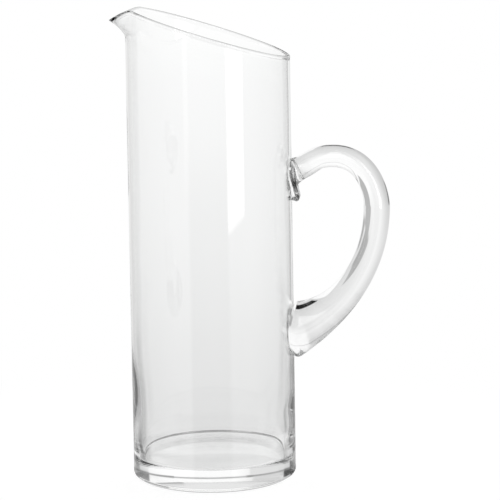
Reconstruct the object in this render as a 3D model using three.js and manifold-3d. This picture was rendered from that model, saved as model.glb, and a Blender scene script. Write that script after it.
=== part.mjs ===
// A clear glass water pitcher: a blown body with a heavy base, a mouth cut on a slant and a small
// pouring lip, and a handle drawn from a second gather of glass and sealed to the wall.
// Millimetres, +Z up. The origin is the centre of the foot, the handle is on +X, the lip on -X.
import * as THREE from "three";
import { mergeVertices } from "three/addons/utils/BufferGeometryUtils.js";
import Module from "manifold-3d";

// Body: outside
const FOOT_RADIUS = 50;
const HEEL_ROUNDING = 3;
const RIM_RADIUS = 49.2;
const RIM_HEIGHT = 272; // the middle of the slanted mouth
const RIM_SLANT = THREE.MathUtils.degToRad(17.4);

// Body: inside
const BASE_THICKNESS = 12.9;
const FOOT_WALL = 6.8;
const RIM_WALL = 1.8;
const FLOOR_ROUNDING = 1;
const WALL_THINNING = 6.5; // how fast the wall thins above the base

// Pouring lip
const LIP_REACH = 9.4;
const LIP_DROP = 8;
const LIP_DEPTH = 17.4; // how much of the wall under the rim is drawn out
const LIP_HALF_ANGLE = THREE.MathUtils.degToRad(29);
const LIP_CURL = 1.4; // above 1 the wall leans out faster near the rim

// Handle: the line through the middle of the glass
const LOWER_SEAL_HEIGHT = 88.5;
const SEAL_SPAN = 99.5; // from the lower seal's middle up to the upper one's
const CROWN_RISE = 8; // the crown above the upper seal
const CROWN_REACH = 24.4; // the crown out from the wall
const BOW_REACH = 51.2; // the widest point out from the wall
const BOW_FALL = 30.4; // the widest point under the crown
const UPPER_TILT = THREE.MathUtils.degToRad(5);
const LOWER_TILT = THREE.MathUtils.degToRad(20.3);

// Handle: how full each bend is, as a share of the stretch that it spans
const UPPER_FULLNESS = 0.4;
const CROWN_FULLNESS_IN = 0.53;
const CROWN_FULLNESS_OUT = 0.81;
const BOW_FULLNESS_UP = 0.26;
const BOW_FULLNESS_DOWN = 0.523;
const LOWER_FULLNESS = 0.527;

// Handle: its section, thick in the plane of the handle and wide across it
const GRIP_THICKNESS = 13.3;
const BOW_THICKNESS = 15.8;
const LOWER_SEAL_THICKNESS = 36.3;
const GRIP_WIDTH = 18;
const UPPER_SEAL_WIDTH = 25;
const LOWER_SEAL_WIDTH = 36;
const UPPER_FLARE = 5; // above 1 the glass spreads only close to the wall
const LOWER_FLARE = 2.48;
const LOWER_TURN = 1.12; // how late the section turns upright on its way down to the wall

// The tail of the handle's glass, folded down under the upper seal: a neck and a blunt toe
const NECK = { drop: 9, out: 3.4, across: 6.5, up: 8 };
const TOE = { drop: 15.6, stand: 1, out: 4, across: 8, up: 4.2 };

// The handle's glass stays this far clear of the wall
const SEAL_GAP = 0.3;

// Fineness
const BODY_SIDES = 80;
const ARC_STEPS = 4;
const LIP_ROWS = 5;
const WALL_ROWS = 8;
const HANDLE_SIDES = 20;
const STRETCH_STEPS = 12;
const LOBE_SIDES = 16;

const wasm = await Module();
wasm.setup();

// The outside of the wall, which narrows a little from the foot to the rim.
function outerRadius(z) {
  return FOOT_RADIUS + ((RIM_RADIUS - FOOT_RADIUS) * z) / RIM_HEIGHT;
}

function wallThickness(z) {
  const thinning = (1 - z / RIM_HEIGHT) ** WALL_THINNING;
  return RIM_WALL + (FOOT_WALL - RIM_WALL) * thinning;
}

function arcPoints(cx, cy, radius, from, to, steps) {
  const arc = new THREE.EllipseCurve(cx, cy, radius, radius, from, to, to < from);
  return arc.getPoints(steps);
}

function rows(from, to, count) {
  return Array.from({ length: count }, (_, i) => from + ((to - from) * i) / count);
}

// Half of the body's section with the mouth still level, from the middle of the underside, up the
// outside, over the rim and down the inside to the middle of the floor.
function bodyProfile() {
  const half = Math.PI / 2;
  const rimRounding = RIM_WALL / 2;
  const rimCentre = RIM_HEIGHT - rimRounding;
  const lipStart = rimCentre - LIP_DEPTH;
  const innerRadius = (z) => outerRadius(z) - wallThickness(z);
  const floorCorner = BASE_THICKNESS + FLOOR_ROUNDING;
  const heel = FOOT_RADIUS - HEEL_ROUNDING;
  const outside = [...rows(floorCorner, lipStart, WALL_ROWS), ...rows(lipStart, rimCentre, LIP_ROWS)];
  const floorCurve = innerRadius(floorCorner) - FLOOR_ROUNDING;
  return [
    new THREE.Vector2(0, 0),
    ...arcPoints(heel, HEEL_ROUNDING, HEEL_ROUNDING, -half, 0, ARC_STEPS),
    ...outside.map((z) => new THREE.Vector2(outerRadius(z), z)),
    ...arcPoints(outerRadius(rimCentre) - rimRounding, rimCentre, rimRounding, 0, Math.PI, ARC_STEPS),
    ...outside.toReversed().map((z) => new THREE.Vector2(innerRadius(z), z)).slice(0, -1),
    ...arcPoints(floorCurve, floorCorner, FLOOR_ROUNDING, 0, -half, ARC_STEPS),
    new THREE.Vector2(0, BASE_THICKNESS),
  ];
}

// Slants the mouth, then draws the lip out of the wall on its high side.
function shapeMouth(position) {
  const wallStart = BASE_THICKNESS + FLOOR_ROUNDING;
  const lipStart = RIM_HEIGHT - RIM_WALL / 2 - LIP_DEPTH;
  const point = new THREE.Vector3();
  for (let i = 0; i < position.count; i++) {
    point.fromBufferAttribute(position, i);
    const radius = Math.hypot(point.x, point.y);
    const away = Math.atan2(point.y, -point.x);
    const tilt = THREE.MathUtils.clamp((point.z - wallStart) / (lipStart - wallStart), 0, 1);
    const drawn = Math.max(0, (point.z - lipStart) / LIP_DEPTH);
    const near = Math.abs(away) < LIP_HALF_ANGLE;
    const bump = near ? Math.cos((Math.PI / 2) * (away / LIP_HALF_ANGLE)) ** 2 : 0;
    const out = radius > 0 ? 1 + (LIP_REACH * bump * drawn ** LIP_CURL) / radius : 1;
    point.z -= tilt * point.x * Math.tan(RIM_SLANT) + LIP_DROP * bump * drawn;
    position.setXYZ(i, point.x * out, point.y * out, point.z);
  }
}

// A lathe's axis is +Y, so its surface is laid over to stand on +Z.
function turned(profile) {
  return new THREE.LatheGeometry(profile, BODY_SIDES).rotateX(Math.PI / 2);
}

function bodyGeometry() {
  const geometry = turned(bodyProfile());
  shapeMouth(geometry.getAttribute("position"));
  geometry.computeVertexNormals();
  return geometry;
}

// The handle's middle line as three curves: wall to crown, crown to bow, bow to wall.
function handleStretches() {
  const upperHeight = LOWER_SEAL_HEIGHT + SEAL_SPAN;
  const upper = new THREE.Vector3(outerRadius(upperHeight), 0, upperHeight);
  const crown = new THREE.Vector3(upper.x + CROWN_REACH, 0, upperHeight + CROWN_RISE);
  const bow = new THREE.Vector3(upper.x + BOW_REACH, 0, crown.z - BOW_FALL);
  const lower = new THREE.Vector3(outerRadius(LOWER_SEAL_HEIGHT), 0, LOWER_SEAL_HEIGHT);
  const upperWay = new THREE.Vector3(Math.cos(UPPER_TILT), 0, Math.sin(UPPER_TILT));
  const lowerWay = new THREE.Vector3(Math.cos(LOWER_TILT), 0, Math.sin(LOWER_TILT));
  const across = new THREE.Vector3(1, 0, 0);
  const up = new THREE.Vector3(0, 0, 1);
  const beside = (point, way, length) => point.clone().addScaledVector(way, length);
  return [
    new THREE.CubicBezierCurve3(
      upper,
      beside(upper, upperWay, UPPER_FULLNESS * CROWN_REACH),
      beside(crown, across, -CROWN_FULLNESS_IN * CROWN_REACH),
      crown,
    ),
    new THREE.CubicBezierCurve3(
      crown,
      beside(crown, across, CROWN_FULLNESS_OUT * (BOW_REACH - CROWN_REACH)),
      beside(bow, up, BOW_FULLNESS_UP * BOW_FALL),
      bow,
    ),
    new THREE.CubicBezierCurve3(
      bow,
      beside(bow, up, -BOW_FULLNESS_DOWN * (bow.z - lower.z)),
      beside(lower, lowerWay, LOWER_FULLNESS * BOW_REACH),
      lower,
    ),
  ];
}

// Thickness and width on stretch 0, 1 or 2, at t from 0 to 1 along it.
function handleSection(stretch, t) {
  if (stretch === 0) {
    const spread = (1 - t) ** UPPER_FLARE;
    return [GRIP_THICKNESS, GRIP_WIDTH + (UPPER_SEAL_WIDTH - GRIP_WIDTH) * spread];
  }
  if (stretch === 1) return [GRIP_THICKNESS + (BOW_THICKNESS - GRIP_THICKNESS) * t, GRIP_WIDTH];
  const spread = t ** LOWER_FLARE;
  return [
    BOW_THICKNESS + (LOWER_SEAL_THICKNESS - BOW_THICKNESS) * spread,
    GRIP_WIDTH + (LOWER_SEAL_WIDTH - GRIP_WIDTH) * spread,
  ];
}

// One oval ring of points, square to the handle's line.
function ovalRing(centre, way, [thickness, width]) {
  const outward = new THREE.Vector3(-way.z, 0, way.x);
  return Array.from({ length: HANDLE_SIDES }, (_, i) => {
    const angle = (2 * Math.PI * i) / HANDLE_SIDES;
    const point = centre.clone().addScaledVector(outward, (thickness / 2) * Math.cos(angle));
    point.y += (width / 2) * Math.sin(angle);
    return point;
  });
}

// The way that a section faces: along the line, but on the lower arm more and more straight at the wall.
function sectionWay(curve, stretch, t) {
  const way = curve.getTangent(t);
  return stretch === 2 ? way.lerp(new THREE.Vector3(-1, 0, 0), t ** LOWER_TURN).normalize() : way;
}

// Both ends of the line run on into the wall, so that the wall's curve can be cut out of them.
function handleRings() {
  const stretches = handleStretches();
  const rings = [];
  stretches.forEach((curve, stretch) => {
    for (let i = stretch === 0 ? 0 : 1; i <= STRETCH_STEPS; i++) {
      const t = i / STRETCH_STEPS;
      rings.push(ovalRing(curve.getPoint(t), sectionWay(curve, stretch, t), handleSection(stretch, t)));
    }
  });
  const sunk = (curve, t, stretch, depth) => {
    const way = sectionWay(curve, stretch, t);
    const centre = curve.getPoint(t).addScaledVector(way, depth);
    return ovalRing(centre, way, handleSection(stretch, t));
  };
  rings.unshift(sunk(stretches[0], 0, 0, -UPPER_SEAL_WIDTH / 2));
  rings.push(sunk(stretches[2], 1, 2, LOWER_SEAL_WIDTH / 2));
  return rings;
}

// A closed skin over rings of points, with a fan over each end.
function skinOver(rings) {
  const sides = rings[0].length;
  const middle = (ring) => {
    return ring.reduce((sum, p) => sum.add(p), new THREE.Vector3()).divideScalar(sides);
  };
  const points = [...rings.flat(), middle(rings[0]), middle(rings.at(-1))];
  const first = rings.length * sides;
  const triangles = [];
  for (let k = 0; k < sides; k++) {
    const next = (k + 1) % sides;
    for (let r = 0; r + 1 < rings.length; r++) {
      const a = r * sides;
      const b = a + sides;
      triangles.push(a + k, b + next, a + next, a + k, b + k, b + next);
    }
    const last = first - sides;
    triangles.push(first, k, next, first + 1, last + next, last + k);
  }
  return new THREE.BufferGeometry().setFromPoints(points).setIndex(triangles);
}

function toSolid(geometry) {
  const bare = geometry.clone();
  bare.deleteAttribute("normal");
  bare.deleteAttribute("uv");
  const merged = mergeVertices(bare, 1e-3);
  return new wasm.Manifold(
    new wasm.Mesh({
      numProp: 3,
      vertProperties: merged.getAttribute("position").array,
      triVerts: new Uint32Array(merged.index.array),
    }),
  );
}

function toGeometry(solid) {
  const mesh = solid.getMesh();
  const geometry = new THREE.BufferGeometry();
  geometry.setAttribute("position", new THREE.BufferAttribute(mesh.vertProperties, 3));
  geometry.setIndex(new THREE.BufferAttribute(mesh.triVerts, 1));
  geometry.computeVertexNormals();
  return geometry;
}

// A rounded lump of the folded tail, half sunk in the wall under the upper seal.
function tailLobe({ drop, stand = 0, out, across, up }) {
  const z = LOWER_SEAL_HEIGHT + SEAL_SPAN - drop;
  return new THREE.SphereGeometry(1, LOBE_SIDES, LOBE_SIDES / 2)
    .scale(out, across, up)
    .translate(outerRadius(z) + stand, 0, z);
}

// The room that the body takes, with the clearance round it.
function wallRoom() {
  const below = -LOWER_SEAL_THICKNESS;
  const above = RIM_HEIGHT + LOWER_SEAL_THICKNESS;
  return turned([
    new THREE.Vector2(0, below),
    new THREE.Vector2(outerRadius(below) + SEAL_GAP, below),
    new THREE.Vector2(outerRadius(above) + SEAL_GAP, above),
    new THREE.Vector2(0, above),
  ]);
}

function handleGeometry() {
  const drawn = toSolid(skinOver(handleRings()));
  const folded = drawn.add(toSolid(tailLobe(NECK))).add(toSolid(tailLobe(TOE)));
  return toGeometry(folded.subtract(toSolid(wallRoom())));
}

function clearGlass() {
  return new THREE.MeshStandardMaterial({
    color: 0xeef2f1,
    roughness: 0.03,
    metalness: 0,
    transparent: true,
    opacity: 0.35,
  });
}

function part(name, geometry) {
  const mesh = new THREE.Mesh(geometry, clearGlass());
  mesh.name = name;
  return mesh;
}

const pitcher = new THREE.Group();
pitcher.add(part("body", bodyGeometry()), part("handle", handleGeometry()));

export default pitcher;
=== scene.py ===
"""A clear glass water pitcher on a white ground: the blown body and the drawn handle."""
import math

import bmesh
import bpy
import numpy as np
from mathutils import Euler, Matrix, Vector


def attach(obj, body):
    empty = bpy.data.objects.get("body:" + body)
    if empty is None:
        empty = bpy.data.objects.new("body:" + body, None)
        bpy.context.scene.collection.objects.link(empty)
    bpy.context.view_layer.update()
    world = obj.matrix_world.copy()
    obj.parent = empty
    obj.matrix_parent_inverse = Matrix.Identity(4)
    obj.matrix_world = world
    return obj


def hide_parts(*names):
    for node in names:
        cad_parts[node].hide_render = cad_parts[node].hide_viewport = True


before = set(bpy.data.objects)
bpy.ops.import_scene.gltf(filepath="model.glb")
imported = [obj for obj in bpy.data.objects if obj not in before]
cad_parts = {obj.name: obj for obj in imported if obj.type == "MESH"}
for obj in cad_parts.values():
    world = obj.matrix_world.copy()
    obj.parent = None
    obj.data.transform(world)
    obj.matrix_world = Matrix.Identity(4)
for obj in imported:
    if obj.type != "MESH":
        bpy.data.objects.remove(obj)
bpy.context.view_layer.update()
scene = bpy.context.scene

MM = 0.001

# Body, in millimetres, as in the CAD
FOOT_RADIUS = 50.0
HEEL_ROUNDING = 3.0
RIM_RADIUS = 49.2
RIM_HEIGHT = 272.0
RIM_SLANT = math.radians(17.4)
BASE_THICKNESS = 12.9
FOOT_WALL = 6.8
RIM_WALL = 1.8
FLOOR_ROUNDING = 1.0
WALL_THINNING = 6.5
LIP_REACH = 9.4
LIP_DROP = 8.0
LIP_DEPTH = 17.4
LIP_HALF_ANGLE = math.radians(29.0)
LIP_CURL = 1.4

# Body, what only shows close up
RIM_BEAD = 1.1             # radius of the fire-polished rim
BEAD_ARC = (-20, 200)      # how far that rim is round, in degrees
LIP_THICKENING = 1.6       # how much thicker the glass is in the middle of the lip
PUNT_DEPTH = 0.7           # hollow of the underside
PUNT_RADIUS = 40.0

# Ripples of the blown wall: how high they stand, and how far above the floor they start
OUTER_WAVE = 0.01
INNER_WAVE = 0.02
WAVE_GAP = 2.0
WAVE_GROWTH = 80.0         # the inner ones grow up to this height
# How many lie around the wall, their turn, their twist, and the rise and start of the wave up the wall
OUTER_RIPPLE = (2, 0.0, 0.02, 0.031, 1.0)
SLOW_RIPPLE = (3, 0.7, 0.01, 0.045, 0.0)
QUICK_RIPPLE = (5, 0.0, 0.06, 0.11, 0.5)
QUICK_SHARE = 0.5
# Streaks inside the wall close to the base, on the handle's side
FOOT_WAVE = 0.22
FOOT_WAVE_TOP = 40.0
FOOT_WAVE_FADE = 18.0
FOOT_WAVE_RISE = 0.24
FOOT_WAVE_BEND = 1.5       # how far the streaks bend up and down around the wall
FOOT_WAVE_BENDS = 2
FOOT_WAVE_TURN = 1.0
FOOT_WAVE_NARROWING = 4
# How much the wall swells and thins above the base, on the lip's side
SWELL = 0.5
SWELL_LENGTH = 70.0
SWELL_START = 31.0
SWELL_TOP = 60.0
SWELL_FADE = 20.0
SWELL_ROOM = 8.0           # it sets in over this height above the floor
SWELL_NARROWING = 6

# Handle, in millimetres, as in the CAD
LOWER_SEAL_HEIGHT = 88.5
SEAL_SPAN = 99.5
CROWN_RISE = 8.0
CROWN_REACH = 24.4
BOW_REACH = 51.2
BOW_FALL = 30.4
UPPER_TILT = math.radians(5.0)
LOWER_TILT = math.radians(20.3)
UPPER_FULLNESS = 0.4
CROWN_FULLNESS_IN = 0.53
CROWN_FULLNESS_OUT = 0.81
BOW_FULLNESS_UP = 0.26
BOW_FULLNESS_DOWN = 0.523
LOWER_FULLNESS = 0.527
GRIP_THICKNESS = 13.3
BOW_THICKNESS = 15.8
LOWER_SEAL_THICKNESS = 36.3
GRIP_WIDTH = 18.0
UPPER_SEAL_WIDTH = 25.0
LOWER_SEAL_WIDTH = 36.0
UPPER_FLARE = 5.0
LOWER_FLARE = 2.48
LOWER_TURN = 1.12

# Handle, what only shows close up
UNDERCUT = 0.20            # how much the lower seal draws in again at the wall, at its top
UNDERCUT_REACH = 4.5
SEAL_ROUNDING = 0.12       # the same at its underside
SEAL_ROUNDING_REACH = 2.6
TAIL_ROOM = 18.0           # stretch of the upper arm whose underside runs down into the folded tail
TAIL_SHARPNESS = 3.4
TAIL_CROWDING = 0.56       # below 1 more of the tail hangs from the glass close to the wall
TAIL_HUG = 0.5             # below 1 the sides of the tail come in to the wall sooner
TAIL_GROOVE = 0.08
TAIL_GROOVE_ANGLE = 0.22
# The tail's middle line: distance from the wall and drop below the upper seal
TAIL = ((18.5, -0.5), (12.2, 3.7), (6.0, 7.4), (2.6, 11.2), (5.6, 17.2), (4.0, 20.2), (0.0, 19.4))

# Fineness of the meshes: steps in millimetres, and how many rings or sides there are
SIDES = 240
PUNT_RINGS = 12
HEEL_RINGS = 9
BASE_HEIGHTS = (6.0, 9.5)  # rings outside beside the base
WALL_STEP = 4.0
LIP_RINGS = 14
BEAD_RINGS = 14
BEAD_GAP = 1.2             # from the wall's last ring to the middle of the bead
FLOOR_RINGS = 14
HANDLE_SIDES = 64
HANDLE_STEPS = 56
SEAL_CROWDING = 1.6        # above 1 the handle's rings lie closer together at the upper seal

# Camera, fitted to the foot, the wall and the rim in the photograph
CAMERA_PLACE = (114.2, -1295.2, 353.2)
CAMERA_TURN = math.radians(4.0)
CAMERA_PITCH = math.radians(9.38)
CAMERA_ROLL = math.radians(-0.853)
CAMERA_LENS = 156.0
CAMERA_SENSOR = 36.0
CAMERA_SIGHT = 50.0        # how far it sees, in metres

# Directions, in degrees: by compass, where 0 is straight behind and + is to the right, and by height
COMPASS = (-180, 180)
HEIGHTS = (-90, 90)

# The room as the glass shows it. Straight behind: the backdrop's brightness by height
BACKDROP = (
    (-90, 0.70), (-45, 0.70), (-35, 0.73), (-24, 0.79), (-17, 0.785), (-13, 0.83), (-9, 0.905),
    (-5, 0.955), (-3.5, 1.0), (8, 1.03), (35, 1.03), (60, 0.5), (90, 0.5),
)
# What is left of that to the sides, by compass
ASIDE = (
    (-180, 1.1), (-120, 1.05), (-95, 0.85), (-60, 0.72), (-46, 0.70), (-38, 0.73), (-30, 0.79), (-22, 0.88),
    (-14, 1.0), (18, 1.0), (45, 0.92), (60, 0.88), (95, 0.92), (120, 1.05), (180, 1.1),
)
# Cards in front of it: from where to where by compass and by height, the softness of the edge, brightness
CARDS = (
    (19.5, 44, -9, 10, 2, 0.46),
    (17, 39, -14, -8, 2, 0.46),
    (10.5, 31, -27, -13, 2, 0.43),
    (10, 70, -70, -38, 4, 1.05),
    (-22, 6, -57, -43.5, 2, 0.0),
    (-60, -22, 9.5, 14.8, 1.5, 0.75),
    (-60, -20, 15.0, 16.1, 0.8, 0.3),
    (-20.6, 16.6, 15.2, 16.0, 0.6, 0.5),
    (16, 60, 15.0, 16.1, 0.8, 0.35),
    (-62, -24, 16, 20, 2.5, 0.68),
    (-92, -63, 4, 19, 3, 0.0),
    (-92, -52, 15, 20, 3, 0.1),
    (54, 84, 7, 16, 5, 0.3),
    (38, 70, 14.5, 20, 3, 0.25),
    (-70, 70, 42, 64, 6, 0.1),
    (-62, -46, -25, -12, 4, 0.05),
    (40, 58, -25, -12, 4, 0.35),
    (-190, -108, 4, 100, 6, 0.02),
    (108, 190, 4, 100, 6, 0.02),
)

# What the outside of the glass mirrors, by compass: above the first height, and below the second
MIRROR = (
    (-180, 1.0), (-157, 1.0), (-155, 1.8), (-151, 1.8), (-148, 0.9), (-60, 0.8), (-5, 0.8), (5, 0.7),
    (60, 0.7), (110, 0.9), (148, 0.9), (153, 1.0), (180, 1.0),
)
MIRROR_HEIGHT = -5.4
MIRROR_LOW = (
    (-180, 0.08), (-157, 0.08), (-153, 1.1), (-110, 0.9), (-60, 0.8), (-5, 0.8), (5, 0.7), (60, 0.7),
    (110, 0.9), (148, 0.9), (153, 0.08), (180, 0.08),
)
MIRROR_LOW_HEIGHT = -8.5
# The bright panel at the right: from where to where by compass, its foot, and how much that foot slants
PANEL = (128.0, 149.5)
PANEL_EDGE = 2.0
PANEL_LEVEL = 4.0
PANEL_FOOT = math.radians(-8.6)
PANEL_FOOT_EDGE = 0.006
PANEL_SLANT = 0.02
# What is left of the mirrored room overhead, and between which sines of the height it fades to that
CEILING = 0.4
CEILING_FADE = (0.2, 0.8)
# A lamp over the front by compass and by height, which shows as a highlight on the handle and the rim
LAMP = ((-180, 3.0), (-176, 3.0), (-170, 0.0), (158, 0.0), (165, 3.0), (180, 3.0))
LAMP_HEIGHTS = (18, 70)
LAMP_EDGE = 12
# What is left of it all towards the ground, and between which heights it fades to that
GROUND = 0.1
GROUND_FADE = (-40, -18)

# Ground, in metres: how bright it is by the light on it and by its own glow
FLOOR_RADIUS = 0.3
FLOOR_SIDES = 96
FLOOR_FADE_FROM = 0.1      # from here on it fades to the backdrop's white
FLOOR_GAP = 0.0003
FLOOR_LIT = 0.35
FLOOR_SEEN = 0.84
# The shadow where the foot touches the ground
FOOT_SHADOW_RADIUS = 0.0472
FOOT_SHADOW_EDGE = 0.0012
FOOT_SHADOW_LEVEL = 0.3
# The ground close to the foot, through the glass: painted light and shade, a glow in place of the light on
# it, darker at the left, its brightness from left to right
FLOOR_NEAR = ((-0.08, 0.55), (-0.05, 0.70), (-0.035, 0.80), (0.035, 0.80), (0.05, 0.88), (0.08, 0.95))
FLOOR_NEAR_RADIUS = 0.085
FLOOR_NEAR_EDGE = 0.01
# Painted shade, a dark ring on the ground under the heel: from where to where by distance, the softness of
# the edge, the brightness
HEEL_SHADE_RING = (0.0495, 0.0525)
HEEL_SHADE_RING_EDGE = 0.001
HEEL_SHADE_RING_LEVEL = 0.2
# The pitcher's own shade on that ground, in fans that start at its sides: the start, from where to where by
# compass, how far it reaches, the softness of both edges in degrees and metres, and the brightness
SHADES = (
    ((-0.047, -0.017), (-52, -35), 0.1, (10, 0.14), 0.1),
    ((0.047, -0.017), (0, 95), 0.035, (24, 0.045), 0.05),
    ((-0.047, -0.017), (-100, 5), 0.03, (6, 0.01), 0.2),
)

# The soft lamp over the ground, in metres and watts
SOFTBOX_HEIGHT = 1.2
SOFTBOX_SIZE = 1.0
SOFTBOX_POWER = 3.0

# Glass: its faint waves, in metres and per metre, and its colour in their hollows and on their crests
GLASS_IOR = 1.5
WAVE_STRENGTH = 0.02
WAVE_HEIGHT = 0.0004
WAVE_DETAIL = 2.0
BODY_WAVES = (45, 45, 9)
HANDLE_WAVES = (30, 60, 30)
GLASS_LIGHT = (1.0, 1.0, 1.0, 1)
GLASS_DEEP = (0.985, 0.99, 0.988, 1)
GLASS_SHADOW = (0.9, 0.9, 0.9, 1)

# How often light is followed through the glass
BOUNCES = 32
GLOSSY_BOUNCES = 24


def outer_radius(z):
    return FOOT_RADIUS + (RIM_RADIUS - FOOT_RADIUS) * z / RIM_HEIGHT


def wall_thickness(z):
    return RIM_WALL + (FOOT_WALL - RIM_WALL) * (1 - z / RIM_HEIGHT) ** WALL_THINNING


def inner_radius(z):
    return outer_radius(z) - wall_thickness(z)


def arc(cx, cz, radius, start, end, steps):
    angles = np.radians(np.linspace(start, end, steps))
    return [(cx + radius * math.cos(a), cz + radius * math.sin(a)) for a in angles]


def lengths_along(points):
    """The way along a line of points, from its start to each of them."""
    return np.concatenate([[0], np.cumsum(np.linalg.norm(np.diff(points, axis=0), axis=1))])


def new_piece(name, points, faces):
    mesh = bpy.data.meshes.new(name)
    mesh.from_pydata([tuple(p) for p in points], [], faces)
    mesh.update()
    mesh.shade_smooth()
    piece = bpy.data.objects.new(name, mesh)
    scene.collection.objects.link(piece)
    return piece


# The body
def body_profile():
    """Half section with a level mouth, as (radius, height, inside), from under the foot to the floor."""
    rim_centre = RIM_HEIGHT - RIM_BEAD
    floor_corner = BASE_THICKNESS + FLOOR_ROUNDING
    lip_start = rim_centre - LIP_DEPTH
    heights = list(np.arange(floor_corner, lip_start, WALL_STEP))
    heights += list(np.linspace(lip_start, rim_centre - BEAD_GAP, LIP_RINGS))
    punt = np.linspace(0, PUNT_RADIUS, PUNT_RINGS)
    heel = arc(FOOT_RADIUS - HEEL_ROUNDING, HEEL_ROUNDING, HEEL_ROUNDING, -90, 0, HEEL_RINGS)
    bead = arc(outer_radius(rim_centre) - RIM_WALL / 2, rim_centre, RIM_BEAD, *BEAD_ARC, BEAD_RINGS)
    floor_edge = inner_radius(floor_corner) - FLOOR_ROUNDING
    corner = arc(floor_edge, floor_corner, FLOOR_ROUNDING, 0, -90, FLOOR_RINGS)
    out = [(r, PUNT_DEPTH * (1 - (r / PUNT_RADIUS) ** 2), 0) for r in punt]
    out += [(r, z, 0) for r, z in heel]
    out += [(outer_radius(z), z, 0) for z in list(BASE_HEIGHTS) + heights]
    out += [(r, z, int(i >= BEAD_RINGS // 2)) for i, (r, z) in enumerate(bead)]
    out += [(inner_radius(z), z, 1) for z in reversed(heights[1:])]
    out += [(r, z, 1) for r, z in corner]
    out += [(r, BASE_THICKNESS, 1) for r in np.linspace(floor_edge, 0, FLOOR_RINGS)[1:]]
    return out


def ripple(angle, z, around, turn, twist, rise, start):
    return np.sin(around * angle + turn + twist * z) * math.sin(rise * z + start)


def fade_above(z, top, fade):
    return math.exp(-max(0.0, z - top) / fade)


def wave(angle, z, inside):
    """How far the blown surface departs from a true cylinder, in millimetres."""
    if not inside:
        return OUTER_WAVE * ripple(angle, z, *OUTER_RIPPLE)
    ripples = ripple(angle, z, *SLOW_RIPPLE) + QUICK_SHARE * ripple(angle, z, *QUICK_RIPPLE)
    bend = FOOT_WAVE_BEND * np.sin(angle * FOOT_WAVE_BENDS + FOOT_WAVE_TURN)
    streaks = fade_above(z, FOOT_WAVE_TOP, FOOT_WAVE_FADE) * np.sin(FOOT_WAVE_RISE * z + bend)
    swell = math.sin(2 * math.pi * (z - SWELL_START) / SWELL_LENGTH) * fade_above(z, SWELL_TOP, SWELL_FADE)
    swell *= min(1.0, (z - BASE_THICKNESS) / SWELL_ROOM)
    return (INNER_WAVE * min(1, z / WAVE_GROWTH) ** 2 * ripples
            + FOOT_WAVE * streaks * np.maximum(0, np.cos(angle)) ** FOOT_WAVE_NARROWING
            - SWELL * swell * np.maximum(0, -np.cos(angle)) ** SWELL_NARROWING)


def shape_mouth(x, y, z, inside):
    """The slant of the mouth and the lip, as in the CAD, with thicker glass where the lip is drawn out."""
    wall_start = BASE_THICKNESS + FLOOR_ROUNDING
    lip_start = RIM_HEIGHT - RIM_BEAD - LIP_DEPTH
    away = np.arctan2(y, -x)
    tilt = np.clip((z - wall_start) / (lip_start - wall_start), 0, 1)
    drawn = np.maximum(0, (z - lip_start) / LIP_DEPTH)
    bump = np.where(np.abs(away) < LIP_HALF_ANGLE, np.cos(np.pi / 2 * away / LIP_HALF_ANGLE) ** 2, 0)
    reach = LIP_REACH - LIP_THICKENING * inside
    out = 1 + reach * bump * drawn ** LIP_CURL / np.hypot(x, y)
    return x * out, y * out, z - tilt * x * math.tan(RIM_SLANT) - LIP_DROP * bump * drawn


def make_body():
    profile = body_profile()
    angles = np.linspace(0, 2 * np.pi, SIDES, endpoint=False)
    points = [(0, 0, profile[0][1])]
    rows = profile[1:-1]
    for r, z, inside in rows:
        radius = np.full(SIDES, r)
        if BASE_THICKNESS + WAVE_GAP < z < RIM_HEIGHT - LIP_DEPTH:
            radius = radius + wave(angles, z, inside)
        x, y, h = shape_mouth(radius * np.cos(angles), radius * np.sin(angles), np.full(SIDES, z), inside)
        points += list(zip(x, y, h))
    points.append((0, 0, profile[-1][1]))
    last = len(points) - 1
    faces = []
    for i in range(SIDES):
        j = (i + 1) % SIDES
        faces.append((0, 1 + j, 1 + i))
        for row in range(len(rows) - 1):
            a, b = 1 + row * SIDES, 1 + (row + 1) * SIDES
            faces.append((a + i, a + j, b + j, b + i))
        end = 1 + (len(rows) - 1) * SIDES
        faces.append((end + i, end + j, last))
    return new_piece("pitcher_body", np.array(points) * MM, faces)


# The handle
def bezier(p, t):
    """Points and directions on a curve with four control points."""
    p = np.array(p, float)
    t = np.atleast_1d(t)[:, None]
    point = (1 - t) ** 3 * p[0] + 3 * (1 - t) ** 2 * t * p[1] + 3 * (1 - t) * t ** 2 * p[2] + t ** 3 * p[3]
    way = (1 - t) ** 2 * (p[1] - p[0]) + 2 * (1 - t) * t * (p[2] - p[1]) + t ** 2 * (p[3] - p[2])
    return point, way / np.linalg.norm(way, axis=1)[:, None]


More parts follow.
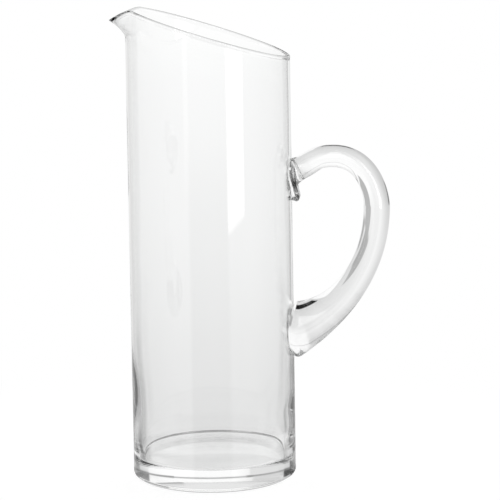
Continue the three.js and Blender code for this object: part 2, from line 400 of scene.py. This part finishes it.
def handle_line():
    """Points, directions, thicknesses and widths along the handle, in its plane (out, up)."""
    top = LOWER_SEAL_HEIGHT + SEAL_SPAN
    upper = np.array((outer_radius(top), top))
    crown = upper + (CROWN_REACH, CROWN_RISE)
    bow = np.array((upper[0] + BOW_REACH, crown[1] - BOW_FALL))
    lower = np.array((outer_radius(LOWER_SEAL_HEIGHT), LOWER_SEAL_HEIGHT))
    upper_way = np.array((math.cos(UPPER_TILT), math.sin(UPPER_TILT)))
    lower_way = np.array((math.cos(LOWER_TILT), math.sin(LOWER_TILT)))
    inward = np.array((-1.0, 0.0))
    t = np.linspace(0, 1, HANDLE_STEPS)
    crowded = t ** SEAL_CROWDING
    flare = t ** LOWER_FLARE
    stretches = [
        (upper, upper + upper_way * UPPER_FULLNESS * CROWN_REACH,
         crown - (CROWN_FULLNESS_IN * CROWN_REACH, 0), crown),
        (crown, crown + (CROWN_FULLNESS_OUT * (BOW_REACH - CROWN_REACH), 0),
         bow + (0, BOW_FULLNESS_UP * BOW_FALL), bow),
        (bow, bow - (0, BOW_FULLNESS_DOWN * (bow[1] - lower[1])),
         lower + lower_way * LOWER_FULLNESS * BOW_REACH, lower),
    ]
    sections = [
        (GRIP_THICKNESS + 0 * t,
         GRIP_WIDTH + (UPPER_SEAL_WIDTH - GRIP_WIDTH) * (1 - crowded) ** UPPER_FLARE),
        (GRIP_THICKNESS + (BOW_THICKNESS - GRIP_THICKNESS) * t, GRIP_WIDTH + 0 * t),
        (BOW_THICKNESS + (LOWER_SEAL_THICKNESS - BOW_THICKNESS) * flare,
         GRIP_WIDTH + (LOWER_SEAL_WIDTH - GRIP_WIDTH) * flare),
    ]
    rows = []
    for stretch, shares, (thick, wide) in zip(stretches, (crowded, t, t), sections):
        point, way = bezier(stretch, shares)
        # The last stretch turns until it meets the wall head on.
        if stretch is stretches[-1]:
            turned = (t ** LOWER_TURN)[:, None]
            way = (1 - turned) * way + turned * inward
            way /= np.linalg.norm(way, axis=1)[:, None]
        start = 1 if rows else 0
        rows += list(zip(point[start:], way[start:], thick[start:], wide[start:]))
    return rows


def tail_line(share):
    """The folded tail's middle line, from the arm (0) to the wall (1), as a smooth curve through TAIL."""
    knots = np.array(TAIL)
    run = lengths_along(knots)
    slopes = np.gradient(knots, run, axis=0)
    at = share * run[-1]
    k = min(max(int(np.searchsorted(run, at)) - 1, 0), len(knots) - 2)
    step = run[k + 1] - run[k]
    t = (at - run[k]) / step
    return ((2 * t ** 3 - 3 * t ** 2 + 1) * knots[k] + (t ** 3 - 2 * t ** 2 + t) * step * slopes[k]
            + (3 * t ** 2 - 2 * t ** 3) * knots[k + 1] + (t ** 3 - t ** 2) * step * slopes[k + 1])


def handle_rings():
    """Rings of points (x, y, z) along the handle, from the upper seal to the lower one."""
    around = np.linspace(0, 2 * np.pi, HANDLE_SIDES, endpoint=False)
    above = (1 + np.cos(around)) / 2
    below = (1 - np.cos(around)) / 2
    groove = TAIL_GROOVE * np.exp(-((around - np.pi) / TAIL_GROOVE_ANGLE) ** 2)
    tail_share = np.maximum(0, below ** TAIL_SHARPNESS - groove)
    line = handle_line()
    run = lengths_along(np.array([row[0] for row in line]))
    seal_height = LOWER_SEAL_HEIGHT + SEAL_SPAN
    rings = []
    for (point, way, thick, wide), along in zip(line, run):
        left = run[-1] - along
        normal = np.array((-way[1], way[0]))
        drawn_in = 1 - above * UNDERCUT * max(0, 1 - left / UNDERCUT_REACH) ** 2
        drawn_in -= below ** 2 * SEAL_ROUNDING * max(0, 1 - left / SEAL_ROUNDING_REACH) ** 2
        reach = drawn_in * thick / 2 * np.cos(around)
        out = point[0] + normal[0] * reach
        up = point[1] + normal[1] * reach
        across = drawn_in * wide / 2 * np.sin(around)
        if along < TAIL_ROOM:
            stand, drop = tail_line(1 - (along / TAIL_ROOM) ** TAIL_CROWDING)
            underside = point - normal * thick / 2
            sideways = outer_radius(seal_height - drop) + stand - underside[0]
            out += tail_share ** (TAIL_HUG if sideways < 0 else 1 / TAIL_HUG) * sideways
            up += tail_share * (seal_height - drop - underside[1])
        rings.append(np.stack([out, across, up], 1))
    # Both ends lie on the wall.
    for ring in (rings[0], rings[-1]):
        ring[:, 0] = np.sqrt(outer_radius(ring[:, 2]) ** 2 - ring[:, 1] ** 2)
    return rings


def make_handle():
    rings = handle_rings()
    faces = []
    for i in range(HANDLE_SIDES):
        j = (i + 1) % HANDLE_SIDES
        for row in range(len(rings) - 1):
            a, b = row * HANDLE_SIDES, (row + 1) * HANDLE_SIDES
            faces.append((a + i, b + i, b + j, a + j))
    faces.append(tuple(range(HANDLE_SIDES)))
    last = (len(rings) - 1) * HANDLE_SIDES
    faces.append(tuple(reversed(range(last, last + HANDLE_SIDES))))
    return new_piece("pitcher_handle", np.concatenate(rings) * MM, faces)


# Looks
class Tree:
    """The nodes of a material or a world, with the few steps that the looks are worked out by."""

    def __init__(self, owner):
        owner.use_nodes = True
        self.nodes = owner.node_tree.nodes
        self.links = owner.node_tree.links

    def new(self, kind):
        return self.nodes.new("ShaderNode" + kind)

    def put(self, value, socket):
        """Gives an input its value: a plain number, or what another node gives out."""
        if isinstance(value, (int, float)):
            socket.default_value = value
        else:
            self.links.new(value, socket)

    def math(self, operation, *values):
        node = self.new("Math")
        node.operation = operation
        for value, socket in zip(values, node.inputs):
            self.put(value, socket)
        return node.outputs["Value"]

    def mix(self, share, a, b):
        """The level a where the share is 0, b where it is 1."""
        node = self.new("Mix")
        node.data_type = "FLOAT"
        self.put(share, node.inputs["Factor"])
        self.put(a, node.inputs["A"])
        self.put(b, node.inputs["B"])
        return node.outputs["Result"]

    def mix_shaders(self, share, a, b):
        node = self.new("MixShader")
        self.put(share, node.inputs["Fac"])
        self.put(a, node.inputs[1])
        self.put(b, node.inputs[2])
        return node.outputs["Shader"]

    def emission(self, level):
        node = self.new("Emission")
        self.put(level, node.inputs["Strength"])
        return node.outputs["Emission"]

    def map_range(self, value, old, new, kind="SMOOTHSTEP"):
        """Turns a value from one range to another, held at both ends."""
        node = self.new("MapRange")
        node.interpolation_type = kind
        node.inputs["From Min"].default_value, node.inputs["From Max"].default_value = old
        node.inputs["To Min"].default_value, node.inputs["To Max"].default_value = new
        self.put(value, node.inputs["Value"])
        return node.outputs["Result"]

    def above(self, value, end, soft):
        """1 where the value is above the end, 0 below it, with a soft step."""
        return self.map_range(value, (end - soft / 2, end + soft / 2), (0.0, 1.0))

    def below(self, value, end, soft):
        return self.map_range(value, (end - soft / 2, end + soft / 2), (1.0, 0.0))

    def between(self, value, ends, soft):
        return self.math("MULTIPLY", self.above(value, ends[0], soft), self.below(value, ends[1], soft))

    def by_table(self, value, span, table):
        """Brightness from a table of (place, level), for a value within the span."""
        top = max(level for _, level in table)
        node = self.new("ValToRGB")
        ramp = node.color_ramp
        ramp.elements.remove(ramp.elements[1])
        for i, (place, level) in enumerate(table):
            share = (place - span[0]) / (span[1] - span[0])
            stop = ramp.elements[0] if i == 0 else ramp.elements.new(share)
            stop.position = share
            stop.color = (level / top, level / top, level / top, 1)
        self.put(self.map_range(value, span, (0.0, 1.0), "LINEAR"), node.inputs["Fac"])
        return self.math("MULTIPLY", node.outputs["Color"], top)

    def in_degrees(self, angle):
        return self.math("MULTIPLY", angle, math.degrees(1))


def glass(name, stretch):
    """Clear glass with the faint waves of blowing or drawing, stretched along the piece."""
    material = bpy.data.materials.new(name)
    tree = Tree(material)
    shader = tree.nodes["Principled BSDF"]
    shader.inputs["Roughness"].default_value = 0.0
    shader.inputs["IOR"].default_value = GLASS_IOR
    shader.inputs["Transmission Weight"].default_value = 1.0
    coords = tree.new("TexCoord")
    placed = tree.new("Mapping")
    placed.inputs["Scale"].default_value = stretch
    tree.put(coords.outputs["Object"], placed.inputs["Vector"])
    waves = tree.new("TexNoise")
    waves.inputs["Scale"].default_value = 1.0
    waves.inputs["Detail"].default_value = WAVE_DETAIL
    tree.put(placed.outputs["Vector"], waves.inputs["Vector"])
    bump = tree.new("Bump")
    bump.inputs["Strength"].default_value = WAVE_STRENGTH
    bump.inputs["Distance"].default_value = WAVE_HEIGHT
    tree.put(waves.outputs["Fac"], bump.inputs["Height"])
    tree.put(bump.outputs["Normal"], shader.inputs["Normal"])
    tint = tree.new("Mix")
    tint.data_type = "RGBA"
    tint.inputs["A"].default_value = GLASS_LIGHT
    tint.inputs["B"].default_value = GLASS_DEEP
    tree.put(waves.outputs["Fac"], tint.inputs["Factor"])
    tree.put(tint.outputs["Result"], shader.inputs["Base Color"])
    path = tree.new("LightPath")
    clear = tree.new("BsdfTransparent")
    clear.inputs["Color"].default_value = GLASS_SHADOW
    surface = tree.mix_shaders(path.outputs["Is Shadow Ray"], shader.outputs["BSDF"], clear.outputs["BSDF"])
    tree.put(surface, tree.nodes["Material Output"].inputs["Surface"])
    return material


# The ground
def ground_seen(tree, distance):
    """The ground as the camera sees it: white, with a faint shadow and a darker one under the foot."""
    diffuse = tree.new("BsdfDiffuse")
    diffuse.inputs["Color"].default_value = (FLOOR_LIT, FLOOR_LIT, FLOOR_LIT, 1)
    lit = tree.new("AddShader")
    tree.put(diffuse.outputs["BSDF"], lit.inputs[0])
    tree.put(tree.emission(FLOOR_SEEN), lit.inputs[1])
    fade = tree.map_range(distance, (FLOOR_FADE_FROM, FLOOR_RADIUS), (0.0, 1.0))
    faded = tree.mix_shaders(fade, lit.outputs["Shader"], tree.emission(1.0))
    under_foot = tree.below(distance, FOOT_SHADOW_RADIUS, FOOT_SHADOW_EDGE)
    return tree.mix_shaders(under_foot, faded, tree.emission(FOOT_SHADOW_LEVEL))


def fan(tree, x, y, start, compass, reach, soft):
    """1 in a fan of the ground that spreads from a start, 0 elsewhere."""
    x = tree.math("SUBTRACT", x, start[0])
    y = tree.math("SUBTRACT", y, start[1])
    angle = tree.in_degrees(tree.math("ARCTAN2", x, y))
    squares = tree.math("ADD", tree.math("MULTIPLY", x, x), tree.math("MULTIPLY", y, y))
    near = tree.below(tree.math("SQRT", squares), reach, soft[1])
    return tree.math("MULTIPLY", tree.between(angle, compass, soft[0]), near)


def ground_through_glass(tree, x, y, distance):
    """The ground as the glass shows it: a painted glow close to the foot, with painted shade under the heel
    and in fans, and farther out the room replaces it.
    """
    level = tree.by_table(x, (FLOOR_NEAR[0][0], FLOOR_NEAR[-1][0]), FLOOR_NEAR)
    edge = (FLOOR_NEAR_RADIUS - FLOOR_NEAR_EDGE, FLOOR_NEAR_RADIUS)
    farther = tree.map_range(distance, edge, (0.0, 1.0))
    # painted shade: the dark ring on the ground under the heel
    level = tree.mix(tree.between(distance, HEEL_SHADE_RING, HEEL_SHADE_RING_EDGE), level, HEEL_SHADE_RING_LEVEL)
    for start, compass, reach, soft, shade_level in SHADES:
        share = fan(tree, x, y, start, compass, reach, soft)
        level = tree.mix(share, level, shade_level)
        farther = tree.math("MULTIPLY", farther, tree.math("SUBTRACT", 1.0, share))
    clear = tree.new("BsdfTransparent")
    return tree.mix_shaders(farther, tree.emission(level), clear.outputs["BSDF"])


def make_floor():
    bm = bmesh.new()
    bmesh.ops.create_circle(bm, cap_ends=True, segments=FLOOR_SIDES, radius=FLOOR_RADIUS)
    mesh = bpy.data.meshes.new("floor")
    bm.to_mesh(mesh)
    bm.free()
    floor = bpy.data.objects.new("floor", mesh)
    floor.location.z = -FLOOR_GAP
    scene.collection.objects.link(floor)
    material = bpy.data.materials.new("floor_white")
    tree = Tree(material)
    tree.nodes.remove(tree.nodes["Principled BSDF"])
    coords = tree.new("TexCoord")
    length = tree.new("VectorMath")
    length.operation = "LENGTH"
    tree.put(coords.outputs["Object"], length.inputs[0])
    distance = length.outputs["Value"]
    place = tree.new("SeparateXYZ")
    tree.put(coords.outputs["Object"], place.inputs[0])
    path = tree.new("LightPath")
    through = ground_through_glass(tree, place.outputs["X"], place.outputs["Y"], distance)
    shown = tree.mix_shaders(path.outputs["Is Camera Ray"], through, ground_seen(tree, distance))
    tree.put(shown, tree.nodes["Material Output"].inputs["Surface"])
    floor.data.materials.append(material)


# The room
def room_through_glass(tree, compass, height):
    """The backdrop, the greyer walls at its sides, and the cards, two of which darken the upper front."""
    aside = tree.by_table(compass, COMPASS, ASIDE)
    room = tree.math("MULTIPLY", tree.by_table(height, HEIGHTS, BACKDROP), aside)
    for left, right, low, high, soft, level in CARDS:
        across = tree.between(compass, (left, right), soft)
        share = tree.math("MULTIPLY", across, tree.between(height, (low, high), soft))
        room = tree.mix(share, room, level)
    return room


def room_mirrored(tree, angle, compass, height, z):
    """The room that the glass mirrors: a bright panel at the right, a narrow one at the left, and a lamp."""
    higher = tree.map_range(height, (MIRROR_LOW_HEIGHT, MIRROR_HEIGHT), (0.0, 1.0))
    low = tree.by_table(compass, COMPASS, MIRROR_LOW)
    mirror = tree.mix(higher, low, tree.by_table(compass, COMPASS, MIRROR))
    start, end = PANEL
    panel = tree.by_table(compass, COMPASS, (
        (start - PANEL_EDGE, 0.0), (start, PANEL_LEVEL), (end, PANEL_LEVEL), (end + PANEL_EDGE, 0.0)))
    foot = tree.math("MULTIPLY_ADD", angle, PANEL_SLANT, z)
    foot_level = math.sin(PANEL_FOOT) + PANEL_SLANT * math.radians(end)
    standing = tree.above(foot, foot_level, PANEL_FOOT_EDGE)
    mirror = tree.math("MULTIPLY_ADD", panel, standing, mirror)
    mirror = tree.math("MULTIPLY", mirror, tree.map_range(z, CEILING_FADE, (1.0, CEILING)))
    lamp = tree.by_table(compass, COMPASS, LAMP)
    lamp = tree.math("MULTIPLY", lamp, tree.between(height, LAMP_HEIGHTS, LAMP_EDGE))
    mirror = tree.math("ADD", mirror, lamp)
    return tree.math("MULTIPLY", mirror, tree.map_range(height, GROUND_FADE, (GROUND, 1.0)))


def make_world():
    """White to the camera. The glass shows one room through itself and mirrors another on its outside."""
    world = bpy.data.worlds.new("studio")
    scene.world = world
    tree = Tree(world)
    back = tree.nodes["Background"]
    back.inputs["Color"].default_value = (1, 1, 1, 1)
    coords = tree.new("TexCoord")
    split = tree.new("SeparateXYZ")
    tree.put(coords.outputs["Generated"], split.inputs[0])
    x, y, z = split.outputs
    angle = tree.math("ARCTAN2", x, y)
    compass = tree.in_degrees(angle)
    height = tree.in_degrees(tree.math("ARCSINE", z))
    path = tree.new("LightPath")
    # A ray that passes through the smooth glass counts as glossy too.
    mirrored = tree.math("SUBTRACT", path.outputs["Is Glossy Ray"], path.outputs["Is Transmission Ray"])
    through = room_through_glass(tree, compass, height)
    level = tree.mix(mirrored, through, room_mirrored(tree, angle, compass, height, z))
    seen = tree.mix(path.outputs["Is Camera Ray"], level, 1.0)
    tree.put(seen, back.inputs["Strength"])


def make_softbox():
    """A soft lamp overhead, which only lights the ground: the glass shows the room instead."""
    data = bpy.data.lights.new("softbox_top", "AREA")
    data.shape = "DISK"
    data.size = SOFTBOX_SIZE
    data.energy = SOFTBOX_POWER
    lamp = bpy.data.objects.new("softbox_top", data)
    lamp.location.z = SOFTBOX_HEIGHT
    lamp.visible_camera = False
    lamp.visible_glossy = False
    lamp.visible_transmission = False
    scene.collection.objects.link(lamp)


def make_camera():
    data = bpy.data.cameras.new("camera")
    data.lens = CAMERA_LENS
    data.sensor_width = CAMERA_SENSOR
    data.sensor_fit = "HORIZONTAL"
    data.clip_end = CAMERA_SIGHT
    camera = bpy.data.objects.new("camera", data)
    scene.collection.objects.link(camera)
    turn = Euler((math.pi / 2 - CAMERA_PITCH, 0, CAMERA_TURN)).to_matrix()
    roll = Matrix.Rotation(CAMERA_ROLL, 3, "Z")
    camera.matrix_world = Matrix.Translation(Vector(CAMERA_PLACE) * MM) @ (turn @ roll).to_4x4()
    scene.camera = camera


make_camera()
body = make_body()
body.data.materials.append(glass("body_glass", BODY_WAVES))
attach(body, "root")
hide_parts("body")
handle = make_handle()
handle.data.materials.append(glass("handle_glass", HANDLE_WAVES))
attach(handle, "root")
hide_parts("handle")
make_floor()
make_world()
make_softbox()

scene.view_settings.view_transform = "Standard"
scene.cycles.max_bounces = BOUNCES
scene.cycles.transmission_bounces = BOUNCES
scene.cycles.glossy_bounces = GLOSSY_BOUNCES
scene.cycles.transparent_max_bounces = BOUNCES
